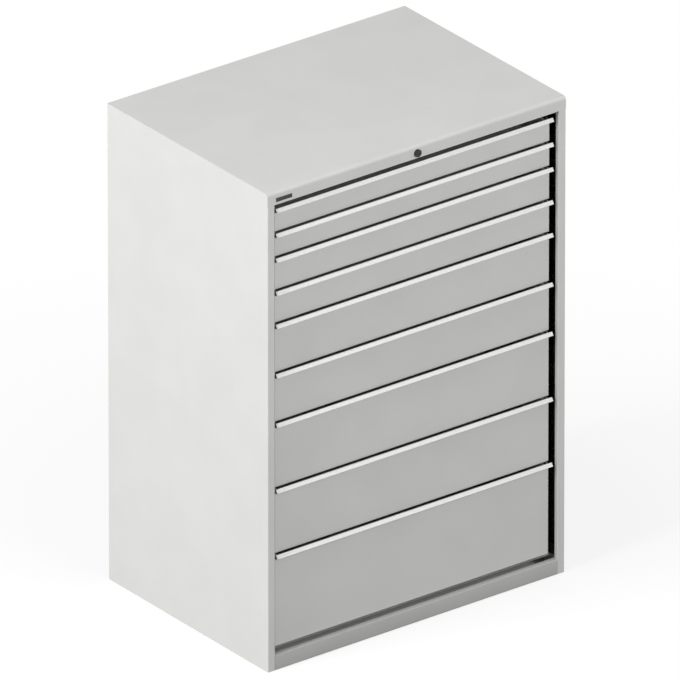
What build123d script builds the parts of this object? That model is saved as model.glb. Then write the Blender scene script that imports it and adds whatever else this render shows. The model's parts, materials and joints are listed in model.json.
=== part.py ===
from build123d import *
import math
import os

# A sheet-steel drawer cabinet with nine full-width drawers on full-extension roller slides and one
# central lock. Millimetres. +Z is up, the front faces -Y, and the origin is at the bottom centre of
# the box round the whole cabinet, lock included.

# Casing
casing_width = 1023
casing_depth = 725
panel_sheet = 1.5
bend_radius = 2.5
base_height = 45
head_height = 55
post_width = 24.5
post_return = 13
rear_flange = 30
foot_flange = 30
base_foot = 40
base_ledge = 18
base_ledge_drop = 15
top_bend_radius = 10
lock_face_height = 38
top_skirt = 25
top_skirt_setback = 30

# Front heights from top to bottom, each a whole number of slot steps
slot_pitch = 25
front_heights = (75, 75, 100, 100, 150, 150, 200, 200, 300)

# Slotted uprights
upright_depth = 13.5
upright_width = 30
upright_sheet = 1.5
front_upright_setback = 34
slot_length = 15
slot_height = 5

# Drawers
front_recess = 22
front_margin = 40.5
front_return = 8
bottom_gap = 5
lowest_bottom_gap = 15
drawer_sheet = 1.5
rear_space = 86.5
tray_lift = 3
tray_headroom = 12
hem_height = 8

# Handles
handle_margin = 36.6
handle_recess = 5
handle_rake = 6
lip_top_gap = 3
lip_height = 10
handle_wall = 2
trough_drop = 4
handle_cap = 3
label_slot = 1.2
hook_wall = 0.6
hook_hold = 1.6

# Slides
rail_sheet = 2
rail_width = 15
rail_start = 15
drawer_rail_setback = 9
roller_diameter = 18
roller_gap = 0.3
roller_width = 11
roller_side_count = 10
bar_thickness = 3
bar_gap = 1.5
bar_height = 14
bar_end = 10
travel_shortfall = 12
roller_play = 2
tongue_clearance = 0.5
tongue_reach = 5
rail_end_margin = 1

# Lock
lock_proud = 6
rosette_diameter = 22
barrel_diameter = 18
barrel_length = 26
lock_axis_drop = 22
cylinder_diameter = 12
running_gap = 0.05
cylinder_inset = 1
nut_radius = 13
nut_thickness = 4
rod_diameter = 8
crank_radius = 10
crank_plate = 3
crank_pin_diameter = 5
crank_rim = 3
yoke_gap = 2.3
lock_bar_width = 36
lock_bar_thickness = 3
guide_gap = 0.3
guide_sheet = 2
guide_height = 30
guide_lip = 7
guide_inset = 150
catch_width = 20
catch_sheet = 3
catch_lip = 8
lug_length = 30
catch_gap = 1.5
unlocked_gap = 2.5
lug_lift = 35
bearing_wall = 4

# Places worked out from the sizes above
half_width = casing_width / 2
casing_height = base_height + sum(front_heights) + head_height
front_y = lock_proud - (casing_depth + lock_proud) / 2
back_y = front_y + casing_depth
shell_height = casing_height - panel_sheet
inner_half = half_width - panel_sheet
opening_half = half_width - post_width
upright_face = inner_half - upright_depth
back_inner_y = back_y - 2 * panel_sheet
lock_face_foot = casing_height - lock_face_height

front_half = half_width - front_margin
front_face_y = front_y + front_recess
tray_front_y = front_face_y + drawer_sheet
drawer_half = upright_face - 2 * rail_width - 2 * bar_gap - bar_thickness
tray_back_y = back_y - rear_space
drawer_travel = tray_back_y - tray_front_y - 2 * drawer_sheet - travel_shortfall

roller_radius = roller_diameter / 2
channel_height = roller_diameter + 2 * roller_gap
rail_height = channel_height + 2 * rail_sheet
cabinet_rail_y = front_y + rail_start
drawer_rail_y = tray_front_y + drawer_rail_setback
rail_back_y = tray_back_y
bar_outer = upright_face - rail_width - bar_gap
bar_inner = bar_outer - bar_thickness
middle_roller_y = cabinet_rail_y + roller_radius + roller_play + drawer_travel / 2
front_roller_y = drawer_rail_y + roller_radius + roller_play
rear_roller_y = rail_back_y - roller_radius - roller_play

lock_z = casing_height - lock_axis_drop
guide_back_y = back_inner_y
bar_back_y = guide_back_y - guide_sheet - guide_gap
bar_front_y = bar_back_y - lock_bar_thickness
lock_bar_x = -crank_radius / 2
lug_end_y = tray_back_y + lug_length
hook_lip_y = lug_end_y - catch_sheet - catch_gap
hook_end_y = hook_lip_y - catch_sheet


class Drawer:
    """The heights that one drawer's pieces share."""

    def __init__(self, number, top, height, lowest):
        self.number = number
        self.top = top
        self.bottom = top - height
        self.front_bottom = self.bottom + (lowest_bottom_gap if lowest else bottom_gap)
        self.lip_foot = top - lip_top_gap - lip_height
        self.front_top = self.lip_foot + trough_drop
        self.tray_bottom = self.front_bottom + tray_lift
        self.tray_top = top - tray_headroom
        steps = math.ceil((self.tray_bottom + rail_height / 2 - base_height) / slot_pitch)
        self.rail_z = base_height + steps * slot_pitch
        self.lug_z = self.tray_bottom + lug_lift


def stack_of_drawers():
    drawers = []
    top = casing_height - head_height
    for number, height in enumerate(front_heights, start=1):
        drawers.append(Drawer(number, top, height, number == len(front_heights)))
        top -= height
    return drawers


drawers = stack_of_drawers()


def facing_front(y):
    """A plane across the cabinet at depth y, local x to the right and local y up."""
    return Plane.XZ.offset(-y)


def block(x, y, z):
    """A box between two values along each axis, added to the part being built."""
    with Locations((x[0], y[0], z[0])):
        Box(x[1] - x[0], y[1] - y[0], z[1] - z[0], align=(Align.MIN, Align.MIN, Align.MIN))


def save(shape, name):
    shape.label = name
    export_step(shape, f"parts/{name}.step")


def save_group(solids, name):
    group = Compound(children=solids)
    group.label = name
    export_step(group, f"parts/{name}.step")


os.makedirs("parts", exist_ok=True)

# Side panels: one sheet folded round the front post with its return, and a flange at the rear, cut
# back above for the top panel's front fold
with BuildPart() as right_side_panel:
    with BuildSketch(Plane.XY):
        with BuildLine():
            FilletPolyline(
                (opening_half, front_y + post_return),
                (opening_half, front_y),
                (half_width, front_y),
                (half_width, back_y),
                (half_width - rear_flange, back_y),
                radius=bend_radius,
            )
            offset(amount=panel_sheet, side=Side.LEFT, kind=Kind.INTERSECTION)
        make_face()
    extrude(amount=shell_height)
    with BuildSketch(Plane.YZ.offset(opening_half)):
        with BuildLine():
            FilletPolyline(
                (front_y + panel_sheet, lock_face_foot),
                (front_y + panel_sheet, shell_height),
                (front_y + post_return, shell_height),
                radius=top_bend_radius - panel_sheet,
            )
            Polyline(
                (front_y + post_return, shell_height),
                (front_y + post_return, casing_height),
                (front_y, casing_height),
                (front_y, lock_face_foot),
                (front_y + panel_sheet, lock_face_foot),
            )
        make_face()
    extrude(amount=post_width, mode=Mode.SUBTRACT)
with BuildPart() as left_side_panel:
    mirror(right_side_panel.part, about=Plane.YZ)
save(right_side_panel.part, "right_side_panel")
save(left_side_panel.part, "left_side_panel")

# Back panel, against the rear flanges and just clear of their bends
back_half = inner_half + panel_sheet - bend_radius
with BuildPart() as back_panel:
    block((-back_half, back_half), (back_inner_y, back_y - panel_sheet), (0, shell_height))
save(back_panel.part, "back_panel")

# Top panel, resting on the shell: it rolls down in front to the face that carries the lock, with a
# return under it between the posts, and has a skirt down inside each side
with BuildPart() as top_panel:
    with BuildSketch(Plane.YZ.offset(-half_width)):
        with BuildLine():
            FilletPolyline(
                (front_y, lock_face_foot),
                (front_y, casing_height),
                (back_y, casing_height),
                radius=top_bend_radius,
            )
            offset(amount=panel_sheet, side=Side.RIGHT, kind=Kind.INTERSECTION)
        make_face()
    extrude(amount=casing_width)
    back_corners = top_panel.edges().filter_by(Axis.Z).group_by(Axis.Y)[-1]
    fillet(back_corners, bend_radius)
    return_y = (front_y + panel_sheet, front_y + post_return)
    block((-opening_half, opening_half), return_y, (lock_face_foot, lock_face_foot + panel_sheet))
    for side in (-1, 1):
        skirt_x = sorted((side * (inner_half - panel_sheet), side * inner_half))
        skirt_y = (front_y + top_skirt_setback, back_inner_y)
        block(skirt_x, skirt_y, (shell_height - top_skirt, shell_height))
    with BuildSketch(facing_front(front_y)):
        with Locations((0, lock_z)):
            Circle(barrel_diameter / 2 + running_gap)
    extrude(amount=-panel_sheet, mode=Mode.SUBTRACT)
save(top_panel.part, "top_panel")

# Bottom panel: the cabinet's floor, folded down at both sides to feet that lie on the ground
with BuildPart() as bottom_panel:
    with BuildSketch(facing_front(front_y + base_foot)):
        with BuildLine():
            Polyline(
                (foot_flange - inner_half, 0),
                (-inner_half, 0),
                (-inner_half, base_height),
                (inner_half, base_height),
                (inner_half, 0),
                (inner_half - foot_flange, 0),
            )
            offset(amount=panel_sheet, side=Side.RIGHT, kind=Kind.INTERSECTION)
        make_face()
    extrude(amount=front_y + base_foot - back_inner_y)
save(bottom_panel.part, "bottom_panel")

# Base strip: the front of the base, with a foot below and a narrow ledge above, turned down behind
with BuildPart() as base_strip:
    with BuildSketch(Plane.YZ.offset(-opening_half)):
        with BuildLine():
            FilletPolyline(
                (front_y + base_foot, 0),
                (front_y, 0),
                (front_y, base_height),
                (front_y + base_ledge, base_height),
                (front_y + base_ledge, base_height - base_ledge_drop),
                radius=bend_radius,
            )
            offset(amount=panel_sheet, side=Side.RIGHT, kind=Kind.INTERSECTION)
        make_face()
    extrude(amount=2 * opening_half)
save(base_strip.part, "base_strip")


def upright(front):
    """A channel standing against the right side panel, its inner face slotted at every step."""
    height = sum(front_heights)
    steps = int(height // slot_pitch)
    middle = front + upright_width / 2
    with BuildPart() as post:
        with BuildSketch(Plane.XY.offset(base_height)):
            with BuildLine():
                Polyline(
                    (inner_half, front),
                    (upright_face, front),
                    (upright_face, front + upright_width),
                    (inner_half, front + upright_width),
                )
                offset(amount=upright_sheet, side=Side.RIGHT, kind=Kind.INTERSECTION)
            make_face()
        extrude(amount=height)
        with BuildSketch(Plane.YZ.offset(upright_face)):
            with Locations((middle, base_height + slot_pitch * steps / 2)):
                with GridLocations(slot_length, slot_pitch, 1, steps - 1):
                    Rectangle(slot_length, slot_height)
        extrude(amount=upright_sheet, mode=Mode.SUBTRACT)
    return post.part


front_upright_y = front_y + front_upright_setback
rear_upright_y = rail_back_y - rail_end_margin - (upright_width + slot_length) / 2 + tongue_clearance


def save_uprights():
    for place, front in (("front", front_upright_y), ("rear", rear_upright_y)):
        right = upright(front)
        save(right, f"right_{place}_upright")
        save(mirror(right, about=Plane.YZ), f"left_{place}_upright")


save_uprights()


def channel(web_x, open_x, start_y, z):
    """A rail of channel section, its web at web_x and its flanges reaching to open_x."""
    toward = 1 if open_x > web_x else -1
    with BuildPart() as rail:
        with BuildSketch(facing_front(start_y)):
            with Locations(((web_x + open_x) / 2, z)):
                Rectangle(abs(open_x - web_x), rail_height)
            with Locations(((web_x + toward * rail_sheet + open_x) / 2, z)):
                Rectangle(abs(open_x - web_x) - rail_sheet, channel_height, mode=Mode.SUBTRACT)
        extrude(amount=start_y - rail_back_y)
    return rail.part


def cabinet_rail(drawer):
    """A right-hand rail, hung in the uprights by a tongue through a slot of each."""
    rail_end = upright_face - rail_width
    with BuildPart() as rail:
        add(channel(upright_face, rail_end, cabinet_rail_y, drawer.rail_z))
        for front in (front_upright_y, rear_upright_y):
            middle = front + upright_width / 2
            half_length = slot_length / 2 - tongue_clearance
            half_height = slot_height / 2 - tongue_clearance
            tongue_y = (middle - half_length, middle + half_length)
            tongue_z = (drawer.rail_z - half_height, drawer.rail_z + half_height)
            block((upright_face, upright_face + tongue_reach), tongue_y, tongue_z)
    return rail.part


def save_cabinet_rails():
    right = [cabinet_rail(drawer) for drawer in drawers]
    left = [mirror(rail, about=Plane.YZ) for rail in right]
    save_group(right, "right_cabinet_rails")
    save_group(left, "left_cabinet_rails")


save_cabinet_rails()


def roller(inner_x, y, z):
    """A roller about an axis along X. The slides have many, so its rim has flats in place of a curve."""
    with BuildPart() as wheel:
        with BuildSketch(Plane.YZ.offset(inner_x)):
            with Locations((y, z)):
                RegularPolygon(roller_radius, roller_side_count)
        extrude(amount=roller_width)
    return wheel.part


def carriage(drawer):
    """The right-hand middle member of a slide. Its rear and middle rollers run in the cabinet's
    rail, and its front and middle rollers carry the drawer's rail, so it makes half the travel."""
    with BuildPart() as bar:
        bar_y = (front_roller_y - bar_end, rear_roller_y + bar_end)
        bar_z = (drawer.rail_z - bar_height / 2, drawer.rail_z + bar_height / 2)
        block((bar_inner, bar_outer), bar_y, bar_z)
    inner_side = bar_inner - roller_width
    rollers = [
        roller(bar_outer, rear_roller_y, drawer.rail_z),
        roller(bar_outer, middle_roller_y, drawer.rail_z),
        roller(inner_side, middle_roller_y, drawer.rail_z),
        roller(inner_side, front_roller_y, drawer.rail_z),
    ]
    return [bar.part] + rollers


def tray(drawer):
    """The drawer's folded body, open above, its side and rear walls hemmed outwards along the top."""
    with BuildPart() as body:
        block((-drawer_half, drawer_half), (tray_front_y, tray_back_y), (drawer.tray_bottom, drawer.tray_top))
        top = body.faces().sort_by(Axis.Z)[-1]
        offset(amount=-drawer_sheet, openings=top)
        with BuildSketch(Plane.XY.offset(drawer.tray_top - hem_height)):
            with BuildLine():
                Polyline(
                    (-drawer_half, tray_front_y),
                    (-drawer_half, tray_back_y),
                    (drawer_half, tray_back_y),
                    (drawer_half, tray_front_y),
                )
                offset(amount=drawer_sheet, side=Side.LEFT, kind=Kind.INTERSECTION)
            make_face()
        extrude(amount=hem_height)
    return body.part


def lock_lug(drawer):
    """The catch behind the drawer, turned down at its end."""
    with BuildPart() as lug:
        half = catch_width / 2
        reach = (tray_back_y, lug_end_y)
        block((lock_bar_x - half, lock_bar_x + half), reach, (drawer.lug_z, drawer.lug_z + catch_sheet))
        lip = (lug_end_y - catch_sheet, lug_end_y)
        block((lock_bar_x - half, lock_bar_x + half), lip, (drawer.lug_z - catch_lip, drawer.lug_z))
    return lug.part


def drawer_front(drawer):
    """The front sheet: a shallow pan with a return at each side and one along the bottom."""
    with BuildPart() as sheet:
        depth = (front_face_y, tray_front_y + front_return)
        block((-front_half, front_half), depth, (drawer.front_bottom, drawer.front_top))
        open_sides = [sheet.faces().sort_by(Axis.Y)[-1], sheet.faces().sort_by(Axis.Z)[-1]]
        offset(amount=-drawer_sheet, openings=open_sides)
    return sheet.part


def handle_outline(drawer):
    """The four corners of the grip's outer side, from the lip's top round to the front sheet."""
    lip_top = (front_y + handle_recess + handle_rake, drawer.lip_foot + lip_height)
    lip_bottom = (front_y + handle_recess, drawer.lip_foot)
    trough = (front_face_y, drawer.lip_foot - trough_drop)
    rear_top = (front_face_y, drawer.front_top)
    return lip_top, lip_bottom, trough, rear_top


def label_hook(root, along, out):
    """The outline of a small hook that stands out of the lip at root and turns along it."""
    with BuildSketch() as hook:
        with BuildLine():
            Polyline(
                root,
                root + out * (label_slot + hook_wall),
                root + out * (label_slot + hook_wall) + along * (hook_wall + hook_hold),
                root + out * label_slot + along * (hook_wall + hook_hold),
                root + out * label_slot + along * hook_wall,
                root + along * hook_wall,
                close=True,
            )
        make_face()
    return hook.sketch


def handle(drawer):
    """An extruded grip: a raked label lip in front, a finger trough behind it, a cap at each end."""
    outline = handle_outline(drawer)
    lip_top, lip_bottom = Vector(*outline[0]), Vector(*outline[1])
    up_lip = (lip_top - lip_bottom).normalized()
    off_lip = Vector(-up_lip.Y, up_lip.X)
    profile_half = half_width - handle_margin - handle_cap
    with BuildPart() as extrusion:
        with BuildSketch(Plane.YZ.offset(-profile_half)):
            with BuildLine():
                Polyline(*outline)
                offset(amount=handle_wall, side=Side.LEFT, kind=Kind.INTERSECTION)
            make_face()
            add(label_hook(lip_bottom, up_lip, off_lip))
            add(label_hook(lip_top, up_lip * -1, off_lip))
        extrude(amount=2 * profile_half)
    with BuildPart() as right_cap:
        with BuildSketch(Plane.YZ.offset(profile_half)):
            with BuildLine():
                Polyline(*outline, close=True)
            make_face()
        extrude(amount=handle_cap)
    return [extrusion.part, right_cap.part, mirror(right_cap.part, about=Plane.YZ)]


def save_drawer(drawer):
    number = drawer.number
    right_rail = channel(drawer_half, drawer_half + rail_width, drawer_rail_y, drawer.rail_z)
    left_rail = mirror(right_rail, about=Plane.YZ)
    save_group([tray(drawer), right_rail, left_rail, lock_lug(drawer)], f"drawer_{number}_tray")
    save(drawer_front(drawer), f"drawer_{number}_front")
    save_group(handle(drawer), f"drawer_{number}_handle")
    right_carriage = carriage(drawer)
    left_carriage = [mirror(piece, about=Plane.YZ) for piece in right_carriage]
    save_group(right_carriage + left_carriage, f"carriage_{number}")


for each_drawer in drawers:
    save_drawer(each_drawer)

# Lock housing: a round rosette in front of the top panel's face and a barrel through it
with BuildPart() as lock_housing:
    with BuildSketch(facing_front(front_y)):
        with Locations((0, lock_z)):
            Circle(rosette_diameter / 2)
    extrude(amount=lock_proud)
    with BuildSketch(facing_front(front_y)):
        with Locations((0, lock_z)):
            Circle(barrel_diameter / 2)
    extrude(amount=-barrel_length)
    with BuildSketch(facing_front(front_y - lock_proud)):
        with Locations((0, lock_z)):
            Circle(cylinder_diameter / 2)
    extrude(amount=-lock_proud - barrel_length, mode=Mode.SUBTRACT)
save(lock_housing.part, "lock_housing")

# Lock nut, drawn up behind that face
with BuildPart() as lock_nut:
    with BuildSketch(facing_front(front_y + panel_sheet)):
        with Locations((0, lock_z)):
            RegularPolygon(nut_radius, 6)
            Circle(barrel_diameter / 2 + running_gap, mode=Mode.SUBTRACT)
    extrude(amount=-nut_thickness)
save(lock_nut.part, "lock_nut")

# Lock cylinder, turned by the key
with BuildPart() as lock_cylinder:
    with BuildSketch(facing_front(front_y - lock_proud + cylinder_inset)):
        with Locations((0, lock_z)):
            Circle(cylinder_diameter / 2 - running_gap)
    extrude(amount=cylinder_inset - lock_proud - barrel_length)
save(lock_cylinder.part, "lock_cylinder")

# Lock rod: it carries the turn to the rear, where its crank pin lifts the lock bar
crank_y = bar_front_y - bar_gap - crank_plate
with BuildPart() as lock_rod:
    with BuildSketch(facing_front(front_y + barrel_length)):
        with Locations((0, lock_z)):
            Circle(rod_diameter / 2)
    extrude(amount=front_y + barrel_length - crank_y)
    crank_rim_radius = crank_pin_diameter / 2 + crank_rim
    with BuildSketch(facing_front(crank_y)):
        with Locations((-crank_radius / 2, lock_z)):
            SlotCenterToCenter(crank_radius, 2 * crank_rim_radius)
    extrude(amount=-crank_plate)
    with BuildSketch(facing_front(crank_y + crank_plate)):
        with Locations((-crank_radius, lock_z)):
            Circle(crank_pin_diameter / 2)
    extrude(amount=-bar_gap - lock_bar_thickness)
save(lock_rod.part, "lock_rod")

# Lock bar: a strip with a yoke for the crank pin, and one upturned hook behind each drawer
lock_bar_top = lock_z + crank_pin_diameter / 2 + yoke_gap + crank_rim


def lock_hook(drawer):
    tongue_top = drawer.lug_z - catch_lip - unlocked_gap - catch_lip
    half = catch_width / 2
    with BuildPart() as hook:
        across = (lock_bar_x - half, lock_bar_x + half)
        block(across, (hook_end_y, bar_front_y), (tongue_top - catch_sheet, tongue_top))
        block(across, (hook_end_y, hook_end_y + catch_sheet), (tongue_top, tongue_top + catch_lip))
    return hook.part


def save_lock_bar():
    lowest_hook = drawers[-1].lug_z - 2 * catch_lip - unlocked_gap - catch_sheet
    with BuildPart() as strip:
        half = lock_bar_width / 2
        across = (lock_bar_x - half, lock_bar_x + half)
        block(across, (bar_front_y, bar_back_y), (lowest_hook, lock_bar_top))
        with BuildSketch(facing_front(bar_front_y)):
            with Locations((lock_bar_x, lock_z)):
                yoke_length = crank_radius + crank_pin_diameter + 2 * running_gap + 2 * guide_gap
                Rectangle(yoke_length, crank_pin_diameter + 2 * yoke_gap)
        extrude(amount=-lock_bar_thickness, mode=Mode.SUBTRACT)
    save_group([strip.part] + [lock_hook(drawer) for drawer in drawers], "lock_bar")


save_lock_bar()


def bar_guide(z):
    """A clip on the back panel that wraps the lock bar's edges."""
    half = lock_bar_width / 2 + guide_gap
    with BuildPart() as guide:
        with BuildSketch(Plane.XY.offset(z)):
            with BuildLine():
                Polyline(
                    (lock_bar_x - half + guide_lip, bar_front_y - guide_gap),
                    (lock_bar_x - half, bar_front_y - guide_gap),
                    (lock_bar_x - half, guide_back_y - guide_sheet),
                    (lock_bar_x + half, guide_back_y - guide_sheet),
                    (lock_bar_x + half, bar_front_y - guide_gap),
                    (lock_bar_x + half - guide_lip, bar_front_y - guide_gap),
                )
                offset(amount=guide_sheet, side=Side.LEFT, kind=Kind.INTERSECTION)
            make_face()
        extrude(amount=guide_height)
    return guide.part


def rod_bearing():
    """A bracket under the top panel, with the hole that the lock rod turns in."""
    bearing_back = crank_y - bar_gap
    half = rod_diameter / 2 + bearing_wall
    with BuildPart() as bracket:
        block((-half, half), (bearing_back - bearing_wall, bearing_back), (lock_z - half, shell_height))
        with BuildSketch(facing_front(bearing_back)):
            with Locations((0, lock_z)):
                Circle(rod_diameter / 2 + running_gap)
        extrude(amount=bearing_wall, mode=Mode.SUBTRACT)
    return bracket.part


lower_guide_z = base_height + guide_inset
upper_guide_z = casing_height - head_height - guide_inset
save_group([bar_guide(lower_guide_z), bar_guide(upper_guide_z)], "lock_bar_guides")
save(rod_bearing(), "lock_rod_bearing")
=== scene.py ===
import json
from math import atan2, cos, hypot, pi, radians, sin

import bpy
from mathutils import Matrix, Vector


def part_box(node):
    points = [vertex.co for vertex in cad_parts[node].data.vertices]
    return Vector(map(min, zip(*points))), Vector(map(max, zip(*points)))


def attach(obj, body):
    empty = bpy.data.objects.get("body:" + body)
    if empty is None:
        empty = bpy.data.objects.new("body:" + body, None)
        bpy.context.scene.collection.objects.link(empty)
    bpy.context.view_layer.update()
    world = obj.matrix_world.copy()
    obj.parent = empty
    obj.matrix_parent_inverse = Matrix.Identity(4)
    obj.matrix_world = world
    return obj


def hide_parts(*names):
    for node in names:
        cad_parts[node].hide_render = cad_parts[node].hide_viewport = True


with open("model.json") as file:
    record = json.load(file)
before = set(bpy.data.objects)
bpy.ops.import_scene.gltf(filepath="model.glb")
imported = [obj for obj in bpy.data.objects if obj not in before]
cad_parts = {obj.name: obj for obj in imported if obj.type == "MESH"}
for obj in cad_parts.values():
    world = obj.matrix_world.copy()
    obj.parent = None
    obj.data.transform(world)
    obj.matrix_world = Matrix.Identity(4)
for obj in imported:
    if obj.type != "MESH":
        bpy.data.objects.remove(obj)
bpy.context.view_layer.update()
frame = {"nodes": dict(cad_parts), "record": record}
nodes = frame["nodes"]

MM = 0.001
DRAWERS = range(1, 10)
CASING_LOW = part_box("left_side_panel")[0]
FRONT_Y = CASING_LOW.y
TOP_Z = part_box("top_panel")[1].z

# Camera, at the photograph's viewing angle. A very long lens stands in for its parallel projection.
PICTURE_WIDTH = 680
AZIMUTH = radians(-37.29)
ELEVATION = radians(26.02)
METRES_PER_PIXEL = MM / 0.36359
ORIGIN_PIXEL = (337.27, 575.64)
LENS = 1690.0
SENSOR = 36.0


def add_camera():
    """Aims at the point of the picture plane that lies in the middle, reckoned from the origin's pixel."""
    right = Vector((cos(AZIMUTH), sin(AZIMUTH), 0))
    back = Vector((sin(AZIMUTH) * cos(ELEVATION), -cos(AZIMUTH) * cos(ELEVATION), sin(ELEVATION)))
    up = back.cross(right)
    middle = PICTURE_WIDTH / 2
    target = right * (middle - ORIGIN_PIXEL[0]) * METRES_PER_PIXEL
    target += up * (ORIGIN_PIXEL[1] - middle) * METRES_PER_PIXEL
    distance = PICTURE_WIDTH * METRES_PER_PIXEL * LENS / SENSOR
    data = bpy.data.cameras.new("camera")
    data.lens = LENS
    data.sensor_width = SENSOR
    data.clip_end = 2 * distance
    camera = bpy.data.objects.new("camera", data)
    bpy.context.scene.collection.objects.link(camera)
    turn = Matrix((right, up, back)).transposed().to_4x4()
    camera.matrix_world = Matrix.Translation(target + back * distance) @ turn
    bpy.context.scene.camera = camera


add_camera()
bpy.context.scene.view_settings.view_transform = "Standard"


def linear_colour(code):
    """An sRGB hex code as the linear colour that the shaders work in."""
    channels = []
    for start in (1, 3, 5):
        value = int(code[start:start + 2], 16) / 255
        channels.append(value / 12.92 if value <= 0.04045 else ((value + 0.055) / 1.055) ** 2.4)
    return (*channels, 1.0)


def add_node(tree, kind, settings, inputs):
    """Adds a node. Settings are its properties; inputs, by name or number, are values or sockets to link."""
    node = tree.nodes.new(kind)
    for name, value in settings.items():
        setattr(node, name, value)
    for name, value in inputs.items():
        socket = node.inputs[name]
        if isinstance(value, bpy.types.NodeSocket):
            tree.links.new(value, socket)
        else:
            socket.default_value = value
    return node


# Light: a large key lamp far to the left, a lamp high in front, and an even room that fills the shadows.
# Places and sizes are in metres, powers in watts.
KEY_PLACE = Vector((-9.5, 0.0, 4.8))
KEY_AIM = Vector((-0.51, 0.0, 0.9))
KEY_POWER = 888.0
KEY_SIZE = 4.0
FRONT_PLACE = Vector((0.5, -5.0, 3.4))
FRONT_AIM = Vector((0.0, -0.36, 0.9))
FRONT_POWER = 112.0
FRONT_SIZE = 2.0
ROOM_LEVEL = 0.5
SEEN_WHITE = 1.0


def add_lamp(name, power, size, place, aim):
    """A square lamp that shines from its place to its aim, and that neither a view nor the gloss shows."""
    data = bpy.data.lights.new(name, "AREA")
    data.energy = power
    data.size = size
    lamp = bpy.data.objects.new(name, data)
    bpy.context.scene.collection.objects.link(lamp)
    lamp.location = place
    lamp.rotation_euler = (place - aim).to_track_quat("Z", "Y").to_euler()
    lamp.visible_camera = False
    lamp.visible_glossy = False


def seen_rays(tree):
    """One for the rays that show a background as it is: the camera's, and those in gloss or through glass."""
    path = add_node(tree, "ShaderNodeLightPath", {}, {})
    rays = [path.outputs[name] for name in ("Is Camera Ray", "Is Glossy Ray", "Is Transmission Ray")]
    either = add_node(tree, "ShaderNodeMath", {"operation": "MAXIMUM"}, {0: rays[0], 1: rays[1]})
    either = add_node(tree, "ShaderNodeMath", {"operation": "MAXIMUM"}, {0: either.outputs[0], 1: rays[2]})
    return either.outputs[0]


def add_room():
    """A world that lights at the room's level and is seen as white."""
    world = bpy.data.worlds.new("room")
    bpy.context.scene.world = world
    world.use_nodes = True
    tree = world.node_tree
    tree.nodes.clear()
    white = linear_colour("#FFFFFF")
    room = add_node(tree, "ShaderNodeBackground", {}, {"Color": white, "Strength": ROOM_LEVEL})
    seen = add_node(tree, "ShaderNodeBackground", {}, {"Color": white, "Strength": SEEN_WHITE})
    mixed = add_node(tree, "ShaderNodeMixShader", {},
                     {0: seen_rays(tree), 1: room.outputs[0], 2: seen.outputs[0]})
    add_node(tree, "ShaderNodeOutputWorld", {}, {"Surface": mixed.outputs[0]})


add_lamp("key", KEY_POWER, KEY_SIZE, KEY_PLACE, KEY_AIM)
add_lamp("front", FRONT_POWER, FRONT_SIZE, FRONT_PLACE, FRONT_AIM)
add_room()


# Materials. Most of a noise's values lie in its span, over which colour and roughness change.
NOISE_SPAN = (0.35, 0.65)


def new_material(name, **values):
    """A material with its shader and output. Values are those that are the same all over the surface."""
    material = bpy.data.materials.new(name)
    material.use_nodes = True
    tree = material.node_tree
    tree.nodes.clear()
    shader = add_node(tree, "ShaderNodeBsdfPrincipled", {}, {})
    for socket, value in values.items():
        shader.inputs[socket.replace("_", " ")].default_value = value
    add_node(tree, "ShaderNodeOutputMaterial", {}, {"Surface": shader.outputs[0]})
    return material, tree, shader


def noise(tree, size_mm, detail, stretch=(1, 1, 1)):
    """Noise in Object coordinates with features of the given size. A small stretch draws it out along
    that axis."""
    place = add_node(tree, "ShaderNodeTexCoord", {}, {})
    mapping = add_node(tree, "ShaderNodeMapping", {}, {"Vector": place.outputs["Object"], "Scale": stretch})
    texture = add_node(tree, "ShaderNodeTexNoise", {},
                       {"Vector": mapping.outputs[0], "Scale": 1 / (size_mm * MM), "Detail": detail})
    return texture.outputs["Fac"]


def tint(tree, shader, factor, dark, light):
    """The surface's colour, from dark to light over the middle of a noise."""
    ramp = add_node(tree, "ShaderNodeValToRGB", {}, {"Fac": factor})
    for element, position, code in zip(ramp.color_ramp.elements, NOISE_SPAN, (dark, light)):
        element.position = position
        element.color = linear_colour(code)
    tree.links.new(ramp.outputs["Color"], shader.inputs["Base Color"])


def gloss(tree, shader, factor, smooth, rough):
    """The surface's roughness, between two values over the middle of a noise."""
    span = add_node(tree, "ShaderNodeMapRange", {},
                    {"Value": factor, "From Min": NOISE_SPAN[0], "From Max": NOISE_SPAN[1],
                     "To Min": smooth, "To Max": rough})
    tree.links.new(span.outputs["Result"], shader.inputs["Roughness"])


def relief(tree, shader, factor, depth_mm, strength):
    bump = add_node(tree, "ShaderNodeBump", {},
                    {"Height": factor, "Distance": depth_mm * MM, "Strength": strength})
    tree.links.new(bump.outputs["Normal"], shader.inputs["Normal"])


def powder_coat(name, dark, light):
    """Sheet steel with a baked polyester powder coat, sprayed on: an even satin grey, cloudy by a shade
    over a hand's width, with orange peel. The peel is about 2 mm across and is drawn at 5 mm to show."""
    material, tree, shader = new_material(name, IOR=1.5)
    tint(tree, shader, noise(tree, size_mm=150, detail=2.0), dark, light)
    peel = noise(tree, size_mm=5, detail=1.0)
    gloss(tree, shader, peel, smooth=0.44, rough=0.54)
    relief(tree, shader, peel, depth_mm=0.12, strength=0.08)
    return material


def zinc_plate(name):
    """Steel rivet heads, bright zinc plated: a cool grey metal with a fine crystal mottle."""
    material, tree, shader = new_material(name, Metallic=1.0)
    tint(tree, shader, noise(tree, size_mm=2, detail=3.0), "#9DA1A4", "#BABDBF")
    gloss(tree, shader, noise(tree, size_mm=1, detail=2.0), smooth=0.3, rough=0.42)
    return material


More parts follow.
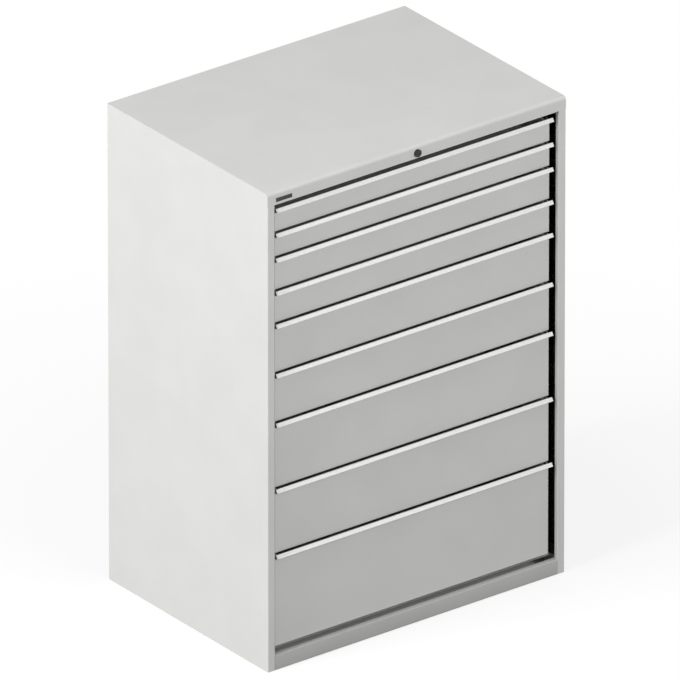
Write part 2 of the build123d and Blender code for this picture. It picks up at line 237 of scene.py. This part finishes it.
def painted_shade_dark_steel(name):
    """Rolled zinc plated steel, coloured a dark satin metal as painted shade so that the gaps beside the
    drawers show black; mottled in tone over a fingertip's width, with faint rolling lines along the depth of
    the cabinet."""
    material, tree, shader = new_material(name, Metallic=1.0)
    # The near-black colour is painted shade, not the parts' own finish.
    tint(tree, shader, noise(tree, size_mm=15, detail=3.0), "#242527", "#37383A")
    rolled = noise(tree, size_mm=2.5, detail=2.0, stretch=(1, 0.03, 1))
    gloss(tree, shader, rolled, smooth=0.38, rough=0.52)
    relief(tree, shader, rolled, depth_mm=0.05, strength=0.12)
    return material


def anodised_aluminium(name):
    """Aluminium, extruded and satin anodised: pale silver with draw lines along the grip. Real lines are
    under 0.1 mm apart; these are drawn at 0.8 mm to show."""
    material, tree, shader = new_material(name, Metallic=0.9)
    drawn = noise(tree, size_mm=0.8, detail=2.0, stretch=(0.01, 1, 1))
    tint(tree, shader, drawn, "#E4E4E2", "#F1F1F0")
    gloss(tree, shader, drawn, smooth=0.36, rough=0.46)
    relief(tree, shader, drawn, depth_mm=0.03, strength=0.15)
    return material


def black_abs(name, dark, light, smooth, rough):
    """Black ABS, injection moulded in an etched tool: a fine matt grain with a soft sheen."""
    material, tree, shader = new_material(name, IOR=1.54)
    grain = noise(tree, size_mm=1.0, detail=2.0)
    tint(tree, shader, grain, dark, light)
    gloss(tree, shader, grain, smooth, rough)
    relief(tree, shader, grain, depth_mm=0.05, strength=0.25)
    return material


def nickel_plate(name):
    """Brass, turned and nickel plated: a warm bright metal with a slight mottle."""
    material, tree, shader = new_material(name, Metallic=1.0)
    turned = noise(tree, size_mm=1.5, detail=2.0)
    tint(tree, shader, turned, "#B5B1A9", "#CCC9C3")
    gloss(tree, shader, turned, smooth=0.2, rough=0.32)
    return material


def card_under_film(name):
    """White card behind clear rigid film: a bright even white with the film's gloss over paper fibre."""
    material, tree, shader = new_material(name, Coat_Weight=0.4, Coat_Roughness=0.12, IOR=1.5)
    fibre = noise(tree, size_mm=6, detail=3.0)
    tint(tree, shader, fibre, "#F1F1F0", "#F6F6F5")
    gloss(tree, shader, fibre, smooth=0.4, rough=0.55)
    return material


CASING_COAT = powder_coat("casing_powder_coated_steel", "#D1D2CF", "#D4D5D2")
FRONT_COAT = powder_coat("front_powder_coated_steel", "#D0D1CE", "#D3D4D1")
# The base strip is coloured a darker grey than the casing.
DARKER_BASE_COAT = powder_coat("darker_base_powder_coated_steel", "#B6B7B4", "#B9BAB7")
TRAY_COAT = powder_coat("tray_powder_coated_steel", "#CDCECB", "#D1D2CF")
RIVET_ZINC = zinc_plate("bright_zinc_plated_rivet")
# Painted shade: the slide parts are coloured near black so that the gaps beside the drawers show dark.
PAINTED_SHADE_DARK_STEEL = painted_shade_dark_steel("slide_steel_dark_as_painted_shade")
ALUMINIUM = anodised_aluminium("satin_anodised_aluminium")
LOCK_ABS = black_abs("black_moulded_abs", "#0A0A0B", "#131314", smooth=0.4, rough=0.5)
PLATE_ABS = black_abs("dark_plate_abs", "#1C1C1E", "#29292B", smooth=0.32, rough=0.42)
NICKEL = nickel_plate("nickel_plated_brass")
CARD = card_under_film("white_card_under_film")

SLOT_MATERIALS = {
    "casing_steel": CASING_COAT,
    "base_steel": DARKER_BASE_COAT,
    "front_steel": FRONT_COAT,
    "drawer_steel": TRAY_COAT,
    "handle_aluminium": ALUMINIUM,
    # The slide parts take the near-black painted-shade steel.
    "slide_steel": PAINTED_SHADE_DARK_STEEL,
    "lock_plastic": LOCK_ABS,
    "lock_metal": NICKEL,
}


def dress_cad_nodes():
    for subpart in frame["record"]["subparts"]:
        node = nodes[subpart["node"]]
        node.data.materials.clear()
        node.data.materials.append(SLOT_MATERIALS[subpart["material_slot"]])


dress_cad_nodes()


# Modelling by hand: each piece starts as a primitive, is shaped in edit mode and finished with modifiers
SMOOTH_ANGLE = radians(35)
FACING = 0.9
ROUND_SEGMENTS = 2


def deselect():
    bpy.ops.object.select_all(action="DESELECT")


def make_active(piece):
    deselect()
    piece.select_set(True)
    bpy.context.view_layer.objects.active = piece


def start_block(name, low, high):
    """A block between two corners, its place in its mesh."""
    deselect()
    low, high = Vector(low), Vector(high)
    bpy.ops.mesh.primitive_cube_add(size=1, location=(low + high) / 2)
    piece = bpy.context.active_object
    piece.name = name
    piece.scale = high - low
    bpy.ops.object.transform_apply(location=True, rotation=True, scale=True)
    return piece


def start_disc(name, middle, radius, thickness, axis, sides):
    """A flat round blank whose axis lies along X or Y."""
    deselect()
    turn = (0, pi / 2, 0) if axis == "X" else (pi / 2, 0, 0)
    bpy.ops.mesh.primitive_cylinder_add(
        vertices=sides, radius=radius, depth=thickness, location=middle, rotation=turn)
    piece = bpy.context.active_object
    piece.name = name
    bpy.ops.object.transform_apply(location=True, rotation=True, scale=True)
    return piece


def apply_modifier(piece, kind, **settings):
    modifier = piece.modifiers.new("shape", kind)
    for name, value in settings.items():
        setattr(modifier, name, value)
    make_active(piece)
    bpy.ops.object.modifier_apply(modifier=modifier.name)


def round_edges(piece, width):
    apply_modifier(piece, "BEVEL", width=width, segments=ROUND_SEGMENTS, limit_method="ANGLE")
    bpy.ops.object.shade_smooth_by_angle(angle=SMOOTH_ANGLE)


def in_edit_mode(piece, choose_face):
    """Goes into face editing with only the chosen faces selected."""
    make_active(piece)
    bpy.ops.object.mode_set(mode="EDIT")
    bpy.ops.mesh.select_mode(type="FACE")
    bpy.ops.mesh.select_all(action="DESELECT")
    bpy.ops.object.mode_set(mode="OBJECT")
    for face in piece.data.polygons:
        face.select = choose_face(face)
    bpy.ops.object.mode_set(mode="EDIT")


def leave_edit_mode():
    bpy.ops.object.mode_set(mode="OBJECT")


def join(pieces, name):
    deselect()
    for piece in pieces:
        piece.select_set(True)
    bpy.context.view_layer.objects.active = pieces[0]
    bpy.ops.object.join()
    pieces[0].name = name
    return pieces[0]


def finish_piece(piece, material, body):
    piece.data.materials.clear()
    piece.data.materials.append(material)
    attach(piece, body)


# Label strips, held under the two hooks of each grip's raked lip
GRIP_DEPTH = 17 * MM
GRIP_DROP = 4 * MM
LIP_RAKE = 6 * MM
LIP_HEIGHT = 10 * MM
CAP_LENGTH = 3 * MM
HOOK_WALL = 0.6 * MM
LABEL_THICKNESS = 1.0 * MM
LABEL_PLAY = 0.05 * MM
LABEL_ROUND = 0.2 * MM


def add_label_strip(number):
    low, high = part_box(f"drawer_{number}_handle")
    foot = Vector((0, high.y - GRIP_DEPTH, low.z + GRIP_DROP))
    inset = HOOK_WALL + LABEL_PLAY
    half = high.x - CAP_LENGTH
    strip = start_block(
        f"label_strip_{number}",
        (-half, -LABEL_PLAY - LABEL_THICKNESS, inset),
        (half, -LABEL_PLAY, hypot(LIP_RAKE, LIP_HEIGHT) - inset),
    )
    lean = atan2(LIP_RAKE, LIP_HEIGHT)
    strip.data.transform(Matrix.Translation(foot) @ Matrix.Rotation(-lean, 4, "X"))
    round_edges(strip, LABEL_ROUND)
    finish_piece(strip, CARD, f"drawer_{number}")


for drawer_number in DRAWERS:
    add_label_strip(drawer_number)

# A bare dark plate at the left end of the face that carries the lock
PLATE_WIDTH = 54 * MM
PLATE_HEIGHT = 11.5 * MM
PLATE_FROM_LEFT = 29 * MM
PLATE_BELOW_TOP = 24 * MM
PLATE_THICKNESS = 1.2 * MM
PLATE_RIM = 1.2 * MM
PLATE_RECESS = 0.3 * MM
PLATE_ROUND = 0.15 * MM


def add_plate():
    """A moulded plate with a narrow raised rim round a bare field."""
    left = CASING_LOW.x + PLATE_FROM_LEFT
    middle = TOP_Z - PLATE_BELOW_TOP
    plate = start_block(
        "bare_plate",
        (left, FRONT_Y - PLATE_THICKNESS, middle - PLATE_HEIGHT / 2),
        (left + PLATE_WIDTH, FRONT_Y, middle + PLATE_HEIGHT / 2),
    )
    in_edit_mode(plate, lambda face: face.normal.y < -FACING)
    bpy.ops.mesh.inset(thickness=PLATE_RIM)
    bpy.ops.mesh.extrude_region_move(TRANSFORM_OT_translate={"value": (0, PLATE_RECESS, 0)})
    leave_edit_mode()
    round_edges(plate, PLATE_ROUND)
    finish_piece(plate, PLATE_ABS, "casing")


add_plate()

# The lock's turning face, black as the photograph shows it, with the key slot cut nearly through
FACE_MARGIN = 0.4 * MM
FACE_THICKNESS = 0.8 * MM
FACE_ROUND = 0.12 * MM
FACE_SIDES = 48
KEY_SLOT_WIDTH = 1.6 * MM
KEY_SLOT_HEIGHT = 6.5 * MM
KEY_SLOT_FLOOR = 0.2 * MM


def add_lock_face():
    low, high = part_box("lock_cylinder")
    middle = Vector(((low.x + high.x) / 2, low.y - FACE_THICKNESS / 2, (low.z + high.z) / 2))
    radius = (high.x - low.x) / 2 - FACE_MARGIN
    face = start_disc("lock_face", middle, radius, FACE_THICKNESS, "Y", FACE_SIDES)
    half_slot = Vector((KEY_SLOT_WIDTH, 0, KEY_SLOT_HEIGHT)) / 2
    ahead = Vector((0, -FACE_THICKNESS, 0))
    slot_floor = Vector((0, FACE_THICKNESS / 2 - KEY_SLOT_FLOOR, 0))
    cutter = start_block("key_slot_cutter", middle - half_slot + ahead, middle + half_slot + slot_floor)
    apply_modifier(face, "BOOLEAN", object=cutter, operation="DIFFERENCE")
    bpy.data.objects.remove(cutter)
    round_edges(face, FACE_ROUND)
    finish_piece(face, LOCK_ABS, "lock")


add_lock_face()

# Riveted heads of the axles at both ends of each carriage
BAR_END = 10 * MM
ROLLER_WIDTH = 11 * MM
BAR_THICKNESS = 3 * MM
HEAD_RADIUS = 4.5 * MM
HEAD_THICKNESS = 1.6 * MM
HEAD_SIDES = 16
HEAD_ROUND = 0.5 * MM


def add_axle_heads(number):
    """On either side, one over the rear roller on the outside and one over the front roller inside."""
    low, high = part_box(f"carriage_{number}")
    outside = high.x + HEAD_THICKNESS / 2
    inside = high.x - 2 * ROLLER_WIDTH - BAR_THICKNESS - HEAD_THICKNESS / 2
    front_y = low.y + BAR_END
    rear_y = high.y - BAR_END
    heads = []
    for side in (-1, 1):
        for x, y in ((outside, rear_y), (inside, front_y)):
            middle = (side * x, y, (low.z + high.z) / 2)
            head = start_disc("axle_head", middle, HEAD_RADIUS, HEAD_THICKNESS, "X", HEAD_SIDES)
            round_edges(head, HEAD_ROUND)
            heads.append(head)
    joined = join(heads, f"axle_heads_{number}")
    finish_piece(joined, RIVET_ZINC, f"carriage_{number}")


for drawer_number in DRAWERS:
    add_axle_heads(drawer_number)

# Slotted linings of the drawers, for partitions on a 17 mm grid
GRID = 17 * MM
SHEET = 1.5 * MM
RAIL_WIDTH = 15 * MM
LUG_LENGTH = 30 * MM
LINING = 0.8 * MM
LINING_GAP = 0.05 * MM
SLOT_WIDTH = 2.5 * MM
SLOT_LENGTH = 10 * MM
ROW_PITCH = 50 * MM
LINING_RISE = 1 * MM
MERGE_WITHIN = 0.01 * MM


def slotted_wall(length, height, count, rows):
    """One slotted cell, repeated along +X and up, then given its thickness towards +Y."""
    width = length / count
    tall = height / rows
    deselect()
    bpy.ops.mesh.primitive_plane_add(size=1, location=(width / 2, 0, tall / 2), rotation=(pi / 2, 0, 0))
    wall = bpy.context.active_object
    wall.scale = (width, tall, 1)
    bpy.ops.object.transform_apply(location=True, rotation=True, scale=True)
    in_edit_mode(wall, lambda face: True)
    rim = width / 4
    bpy.ops.mesh.inset(thickness=rim)
    bpy.ops.transform.resize(value=(SLOT_WIDTH / (width - 2 * rim), 1, SLOT_LENGTH / (tall - 2 * rim)))
    bpy.ops.mesh.delete(type="FACE")
    leave_edit_mode()
    for repeats, step in ((count, (width, 0, 0)), (rows, (0, 0, tall))):
        apply_modifier(wall, "ARRAY", count=repeats, use_relative_offset=False, use_constant_offset=True,
                       constant_offset_displace=step, use_merge_vertices=True, merge_threshold=MERGE_WITHIN)
    apply_modifier(wall, "SOLIDIFY", thickness=LINING, offset=-1)
    return wall


def add_lining(number):
    """The four slotted walls inside a drawer: front, right, rear and left."""
    low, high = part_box(f"drawer_{number}_tray")
    half = high.x - RAIL_WIDTH - SHEET - LINING_GAP
    near = low.y + SHEET + LINING_GAP
    far = high.y - LUG_LENGTH - SHEET - LINING_GAP
    foot = low.z + SHEET + LINING_RISE
    height = high.z - LINING_RISE - foot
    rows = max(1, round(height / ROW_PITCH))
    walls = []
    for middle, turn, length in (
        ((0, near), 0, 2 * half),
        ((half, (near + far) / 2), 90, far - near),
        ((0, far), 180, 2 * half),
        ((-half, (near + far) / 2), 270, far - near),
    ):
        wall = slotted_wall(length, height, round(length / GRID), rows)
        place = Matrix.Translation((middle[0], middle[1], foot)) @ Matrix.Rotation(radians(turn), 4, "Z")
        wall.data.transform(place @ Matrix.Translation((-length / 2, 0, 0)))
        walls.append(wall)
    lining = join(walls, f"slotted_lining_{number}")
    finish_piece(lining, TRAY_COAT, f"drawer_{number}")


for drawer_number in DRAWERS:
    add_lining(drawer_number)

# The lower edges of the fronts, which come down close over the grip below
EDGE_DROP = 6 * MM
EDGE_ROUND = 0.5 * MM
FRONTS_OVER_A_GRIP = range(1, 9)


def add_lower_edge(number):
    """The front's sheet, carried on down past its return and rounded underneath."""
    low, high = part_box(f"drawer_{number}_front")
    edge = start_block(
        f"front_lower_edge_{number}",
        (low.x, low.y, low.z - EDGE_DROP),
        (high.x, low.y + SHEET, low.z),
    )
    in_edit_mode(edge, lambda face: face.normal.z < -FACING)
    bpy.ops.mesh.bevel(offset=EDGE_ROUND, segments=ROUND_SEGMENTS)
    leave_edit_mode()
    bpy.ops.object.shade_smooth_by_angle(angle=SMOOTH_ANGLE)
    finish_piece(edge, FRONT_COAT, f"drawer_{number}")


for drawer_number in FRONTS_OVER_A_GRIP:
    add_lower_edge(drawer_number)

# The base strip in front, folded inwards from the cabinet's outer faces
STRIP_HEIGHT = 45 * MM
STRIP_FOOT = 40 * MM
STRIP_LEDGE = 18 * MM
STRIP_TURN = 15 * MM
STRIP_BEND = 2.5 * MM
BEND_SEGMENTS = 4


def add_base_strip():
    """One sheet: a foot on the floor, the face, a narrow ledge above it and that ledge's edge turned down."""
    low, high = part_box("base_strip")
    deselect()
    bpy.ops.mesh.primitive_plane_add(size=1, location=(0, FRONT_Y + STRIP_FOOT / 2, 0))
    strip = bpy.context.active_object
    strip.name = "folded_base_strip"
    strip.scale = (high.x - low.x, STRIP_FOOT, 1)
    bpy.ops.object.transform_apply(location=True, rotation=True, scale=True)
    bpy.ops.object.mode_set(mode="EDIT")
    bpy.ops.mesh.select_mode(type="EDGE")
    bpy.ops.mesh.select_all(action="DESELECT")
    bpy.ops.object.mode_set(mode="OBJECT")
    places = [vertex.co.y for vertex in strip.data.vertices]
    for edge in strip.data.edges:
        edge.select = all(places[corner] < FRONT_Y + STRIP_FOOT / 2 for corner in edge.vertices)
    bpy.ops.object.mode_set(mode="EDIT")
    for fold in ((0, 0, STRIP_HEIGHT), (0, STRIP_LEDGE, 0), (0, 0, -STRIP_TURN)):
        bpy.ops.mesh.extrude_region_move(TRANSFORM_OT_translate={"value": fold})
    leave_edit_mode()
    apply_modifier(strip, "BEVEL", width=STRIP_BEND, segments=BEND_SEGMENTS, limit_method="ANGLE")
    apply_modifier(strip, "SOLIDIFY", thickness=SHEET, offset=1)
    bpy.ops.object.shade_smooth_by_angle(angle=SMOOTH_ANGLE)
    finish_piece(strip, DARKER_BASE_COAT, "casing")
    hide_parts("base_strip")


add_base_strip()

# Floor, seen as white with a faint shadow, greyer in the light that it throws back, and dark under the
# cabinet, where no light reaches it. Its sizes and distances are in metres.
FLOOR_SIZE = 60.0
FLOOR_DROP = 0.2 * MM
FLOOR_LIGHT = "#7C7C7C"
NEAR_GLOW_SHARE = 0.75
NEAR_FLOOR = 0.9
FAR_FLOOR = 2.2


def floor_glow(tree):
    """How much of the floor's seen colour is glow: none inside the casing's outline, most of it near the
    cabinet and all of it from the far distance on."""
    place = add_node(tree, "ShaderNodeTexCoord", {}, {})
    split = add_node(tree, "ShaderNodeSeparateXYZ", {}, {0: place.outputs["Object"]})
    across = add_node(tree, "ShaderNodeMath", {"operation": "COMPARE"},
                      {0: split.outputs["X"], 1: 0.0, 2: -CASING_LOW.x})
    along = add_node(tree, "ShaderNodeMath", {"operation": "COMPARE"},
                     {0: split.outputs["Y"], 1: 0.0, 2: -FRONT_Y})
    under = add_node(tree, "ShaderNodeMath", {"operation": "MULTIPLY"},
                     {0: across.outputs[0], 1: along.outputs[0]})
    beside = add_node(tree, "ShaderNodeMath", {"operation": "SUBTRACT"}, {0: 1.0, 1: under.outputs[0]})
    distance = add_node(tree, "ShaderNodeVectorMath", {"operation": "LENGTH"}, {0: place.outputs["Object"]})
    rising = add_node(tree, "ShaderNodeMapRange", {},
                      {"Value": distance.outputs["Value"], "From Min": NEAR_FLOOR, "From Max": FAR_FLOOR,
                       "To Min": NEAR_GLOW_SHARE, "To Max": 1.0})
    glow = add_node(tree, "ShaderNodeMath", {"operation": "MULTIPLY"},
                    {0: rising.outputs[0], 1: beside.outputs[0]})
    return glow.outputs[0]


def add_floor():
    deselect()
    bpy.ops.mesh.primitive_plane_add(size=FLOOR_SIZE, location=(0, 0, -FLOOR_DROP))
    floor = bpy.context.active_object
    floor.name = "floor"
    material = bpy.data.materials.new("pale_studio_floor")
    material.use_nodes = True
    tree = material.node_tree
    tree.nodes.clear()
    white = linear_colour("#FFFFFF")
    dull = add_node(tree, "ShaderNodeBsdfDiffuse", {}, {"Color": linear_colour(FLOOR_LIGHT)})
    shaded = add_node(tree, "ShaderNodeBsdfDiffuse", {}, {"Color": white})
    glow = add_node(tree, "ShaderNodeEmission", {}, {"Color": white, "Strength": SEEN_WHITE})
    seen = add_node(tree, "ShaderNodeMixShader", {},
                    {0: floor_glow(tree), 1: shaded.outputs[0], 2: glow.outputs[0]})
    surface = add_node(tree, "ShaderNodeMixShader", {},
                       {0: seen_rays(tree), 1: dull.outputs[0], 2: seen.outputs[0]})
    add_node(tree, "ShaderNodeOutputMaterial", {}, {"Surface": surface.outputs[0]})
    floor.data.materials.append(material)


add_floor()
